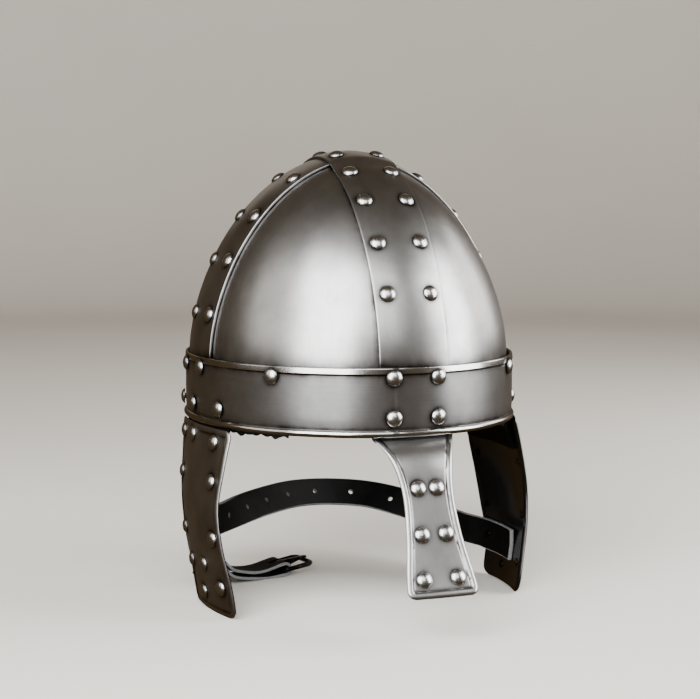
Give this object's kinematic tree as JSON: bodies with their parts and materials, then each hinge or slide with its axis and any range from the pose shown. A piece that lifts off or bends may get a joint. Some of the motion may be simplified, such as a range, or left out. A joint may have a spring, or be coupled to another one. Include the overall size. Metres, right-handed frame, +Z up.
{
  "type": "riveted spangenhelm helmet",
  "caption": "Domed steel helmet of curved plates and riveted straps over a brow band, with a nose guard, hinged cheek guards and a leather chin strap.",
  "frame": {"origin": "middle of the bounding box in plan, on the floor that the cheek guards stand on", "axes": "+Z up; the nose guard points to -Y; the wearer's left is +X"},
  "size_m": [0.2196, 0.277, 0.287],
  "materials": {
    "plate_steel": "satin brushed and lightly antiqued",
    "rivet_steel": "polished domed heads, darkened at the edge",
    "black_leather": "smooth black strap leather",
    "blackened_steel": "glossy black"
  },
  "bodies": {
    "root": {"band_rivet_back_1": "rivet_steel", "band_rivet_back_2": "rivet_steel", "band_rivet_hinge_1": "rivet_steel", "band_rivet_hinge_2": "rivet_steel", "band_rivet_hinge_3": "rivet_steel", "band_rivet_hinge_4": "rivet_steel", "band_rivet_hinge_5": "rivet_steel", "band_rivet_hinge_6": "rivet_steel", "band_rivet_nasal_1": "rivet_steel", "band_rivet_nasal_2": "rivet_steel", "band_rivet_plate_1": "rivet_steel", "band_rivet_plate_2": "rivet_steel", "band_rivet_plate_3": "rivet_steel", "band_rivet_plate_4": "rivet_steel", "band_rivet_ridge_1": "rivet_steel", "band_rivet_ridge_2": "rivet_steel", "band_rivet_ridge_3": "rivet_steel", "band_rivet_ridge_4": "rivet_steel", "band_rivet_side_1": "rivet_steel", "band_rivet_side_2": "rivet_steel", "band_rivet_side_3": "rivet_steel", "band_rivet_side_4": "rivet_steel", "brow_band": "plate_steel", "buckle_frame": "blackened_steel", "buckle_prong": "blackened_steel", "buckle_strap": "black_leather", "cheek_guard_left": "plate_steel", "cheek_guard_right": "plate_steel", "cheek_left_hinge_rivet_1": "rivet_steel", "cheek_left_hinge_rivet_2": "rivet_steel", "cheek_left_hinge_rivet_3": "rivet_steel", "cheek_left_strap_rivet_1": "rivet_steel", "cheek_left_strap_rivet_2": "rivet_steel", "cheek_right_hinge_rivet_1": "rivet_steel", "cheek_right_hinge_rivet_2": "rivet_steel", "cheek_right_hinge_rivet_3": "rivet_steel", "cheek_right_strap_rivet_1": "rivet_steel", "cheek_right_strap_rivet_2": "rivet_steel", "hinge_leather_left": "black_leather", "hinge_leather_right": "black_leather", "infill_back_left": "plate_steel", "infill_back_right": "plate_steel", "infill_front_left": "plate_steel", "infill_front_right": "plate_steel", "nasal": "plate_steel", "nasal_rivet_1": "rivet_steel", "nasal_rivet_2": "rivet_steel", "nasal_rivet_3": "rivet_steel", "nasal_rivet_4": "rivet_steel", "nasal_rivet_5": "rivet_steel", "nasal_rivet_6": "rivet_steel", "ridge_strap": "plate_steel", "side_strap_left": "plate_steel", "side_strap_right": "plate_steel", "tongue_strap": "black_leather"}
  },
  "joints": []
}
